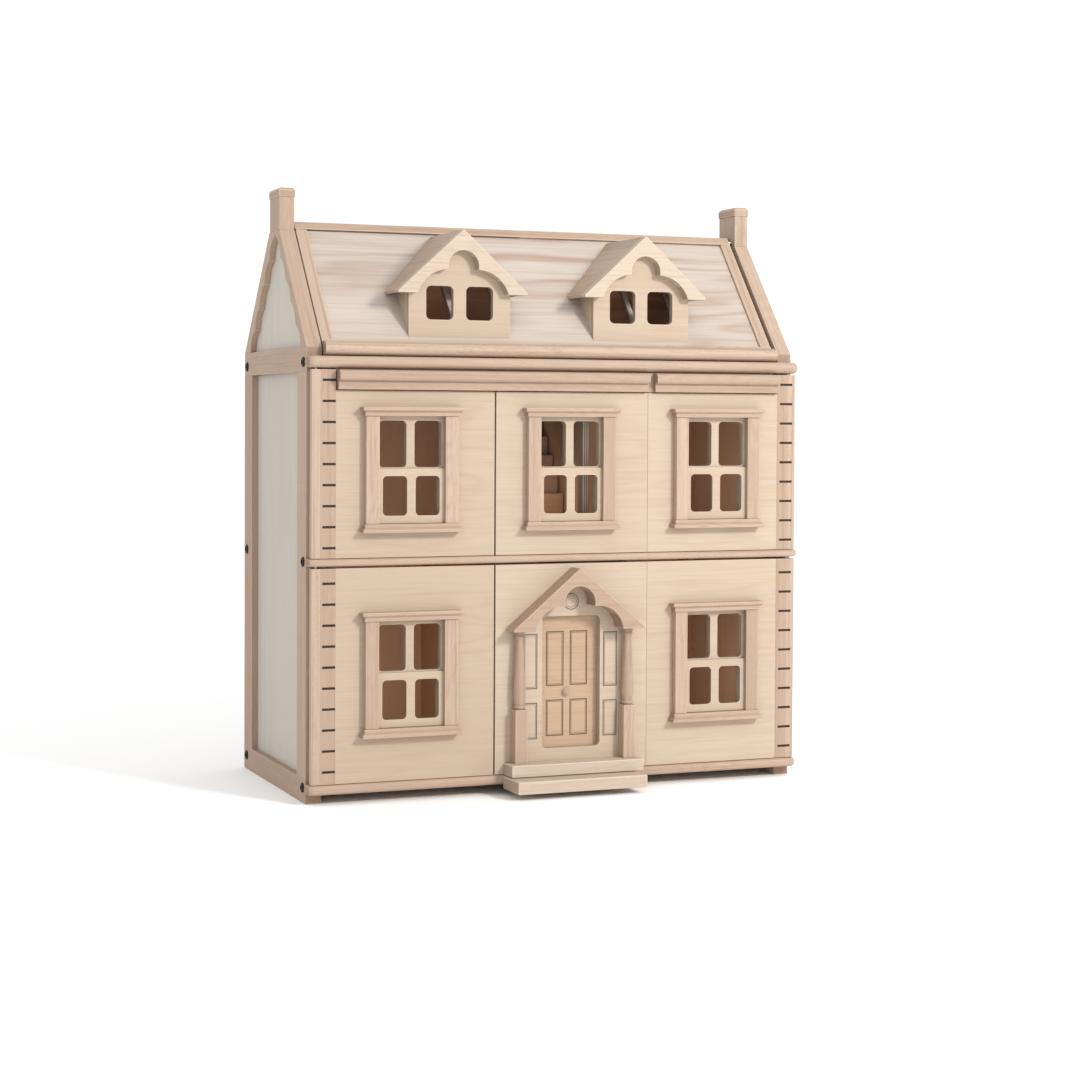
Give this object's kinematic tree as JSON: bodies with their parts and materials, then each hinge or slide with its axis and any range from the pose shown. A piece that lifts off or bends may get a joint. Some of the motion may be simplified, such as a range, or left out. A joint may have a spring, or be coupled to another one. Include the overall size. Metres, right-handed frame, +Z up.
{
  "type": "wooden dollhouse",
  "caption": "Wooden dollhouse with swinging and folding front leaves, sliding sash windows, an opening entrance door and a lifting front roof with dormers.",
  "frame": {"origin": "on the ground under the centre of the overall box", "axes": "+Z up, -Y out of the front with the entrance, +X to the right as one faces the front"},
  "size_m": [0.629, 0.335, 0.712],
  "materials": {
    "rubberwood": "sanded, unfinished",
    "birch_plywood": "sanded, unfinished",
    "white_plywood": "sanded, unfinished",
    "black_bolt": "satin black",
    "steel": "brushed"
  },
  "bodies": {
    "house": {"attic_floor": "rubberwood", "back_panels": "white_plywood", "base_floor": "rubberwood", "chimney_caps": "rubberwood", "chimneys": "rubberwood", "cornice_rail": "rubberwood", "cornices": "rubberwood", "gable_panels": "white_plywood", "gable_rafters": "rubberwood", "ground_step": "rubberwood", "left_wall_frame": "rubberwood", "lower_partitions": "birch_plywood", "lower_staircase": "rubberwood", "middle_floor": "rubberwood", "pivot_pins": "steel", "rear_roof_frame": "rubberwood", "rear_roof_panel": "birch_plywood", "ridge_board": "rubberwood", "right_wall_frame": "rubberwood", "side_panels": "white_plywood", "upper_partitions": "birch_plywood", "upper_staircase": "rubberwood", "wall_bolts": "black_bolt"},
    "upper_left_door": {"upper_left_post": "rubberwood", "upper_left_panel": "birch_plywood", "upper_left_window_frame": "rubberwood"},
    "upper_right_door": {"upper_right_post": "rubberwood", "upper_right_panel": "birch_plywood", "upper_right_window_frame": "rubberwood", "upper_outer_hinges": "steel"},
    "upper_centre_door": {"upper_centre_panel": "birch_plywood", "upper_centre_window_frame": "rubberwood", "upper_inner_hinges": "steel"},
    "lower_left_door": {"lower_left_post": "rubberwood", "lower_left_panel": "birch_plywood", "lower_left_window_frame": "rubberwood"},
    "lower_right_door": {"lower_right_post": "rubberwood", "lower_right_panel": "birch_plywood", "lower_right_window_frame": "rubberwood", "lower_outer_hinges": "steel"},
    "lower_centre_door": {"lower_centre_panel": "birch_plywood", "lower_inner_hinges": "steel", "pediment": "rubberwood", "porch_columns": "rubberwood", "upper_step": "rubberwood", "entrance_pivots": "rubberwood"},
    "entrance_leaf": {"entrance_door": "birch_plywood", "entrance_knob": "rubberwood"},
    "front_roof": {"roof_frame": "rubberwood", "roof_panel": "birch_plywood", "dormer_fronts": "birch_plywood", "dormer_cheeks": "birch_plywood", "dormer_roofs": "rubberwood", "dormer_brows": "rubberwood"},
    "upper_left_window": {"upper_left_sash": "birch_plywood"},
    "upper_centre_window": {"upper_centre_sash": "birch_plywood"},
    "upper_right_window": {"upper_right_sash": "birch_plywood"},
    "lower_left_window": {"lower_left_sash": "birch_plywood"},
    "lower_right_window": {"lower_right_sash": "birch_plywood"}
  },
  "joints": [
    {"name": "upper_left_door_hinge", "type": "hinge", "parent": "house", "child": "upper_left_door", "pos_m": [-0.303, -0.1086, 0.388], "axis": [0, 0, -1], "range_deg": [0, 90]},
    {"name": "upper_right_door_hinge", "type": "hinge", "parent": "house", "child": "upper_right_door", "pos_m": [0.303, -0.1086, 0.388], "axis": [0, 0, 1], "range_deg": [0, 90]},
    {"name": "upper_fold", "type": "hinge", "parent": "upper_right_door", "child": "upper_centre_door", "pos_m": [0.1095, -0.1035, 0.388], "axis": [0, 0, 1], "range_deg": [-180, 0]},
    {"name": "lower_left_door_hinge", "type": "hinge", "parent": "house", "child": "lower_left_door", "pos_m": [-0.303, -0.1086, 0.146], "axis": [0, 0, -1], "range_deg": [0, 90]},
    {"name": "lower_right_door_hinge", "type": "hinge", "parent": "house", "child": "lower_right_door", "pos_m": [0.303, -0.1086, 0.146], "axis": [0, 0, 1], "range_deg": [0, 90]},
    {"name": "lower_fold", "type": "hinge", "parent": "lower_right_door", "child": "lower_centre_door", "pos_m": [0.1095, -0.1035, 0.146], "axis": [0, 0, 1], "range_deg": [-144, 0]},
    {"name": "entrance_hinge", "type": "hinge", "parent": "lower_centre_door", "child": "entrance_leaf", "pos_m": [-0.0304, -0.1036, 0.129], "axis": [0, 0, 1], "range_deg": [0, 90]},
    {"name": "roof_hinge", "type": "hinge", "parent": "house", "child": "front_roof", "pos_m": [0, 0.02, 0.667], "axis": [-1, 0, 0], "range_deg": [0, 150]},
    {"name": "upper_left_sash_slide", "type": "slide", "parent": "upper_left_door", "child": "upper_left_window", "axis": [0, 0, 1], "range_m": [0, 0.058]},
    {"name": "upper_centre_sash_slide", "type": "slide", "parent": "upper_centre_door", "child": "upper_centre_window", "axis": [0, 0, 1], "range_m": [0, 0.058]},
    {"name": "upper_right_sash_slide", "type": "slide", "parent": "upper_right_door", "child": "upper_right_window", "axis": [0, 0, 1], "range_m": [0, 0.058]},
    {"name": "lower_left_sash_slide", "type": "slide", "parent": "lower_left_door", "child": "lower_left_window", "axis": [0, 0, 1], "range_m": [0, 0.058]},
    {"name": "lower_right_sash_slide", "type": "slide", "parent": "lower_right_door", "child": "lower_right_window", "axis": [0, 0, 1], "range_m": [0, 0.058]}
  ],
  "couplings": [
    {"joint": "upper_fold", "follows": "upper_right_door_hinge", "ratio": -2},
    {"joint": "lower_fold", "follows": "lower_right_door_hinge", "ratio": -1.6}
  ]
}
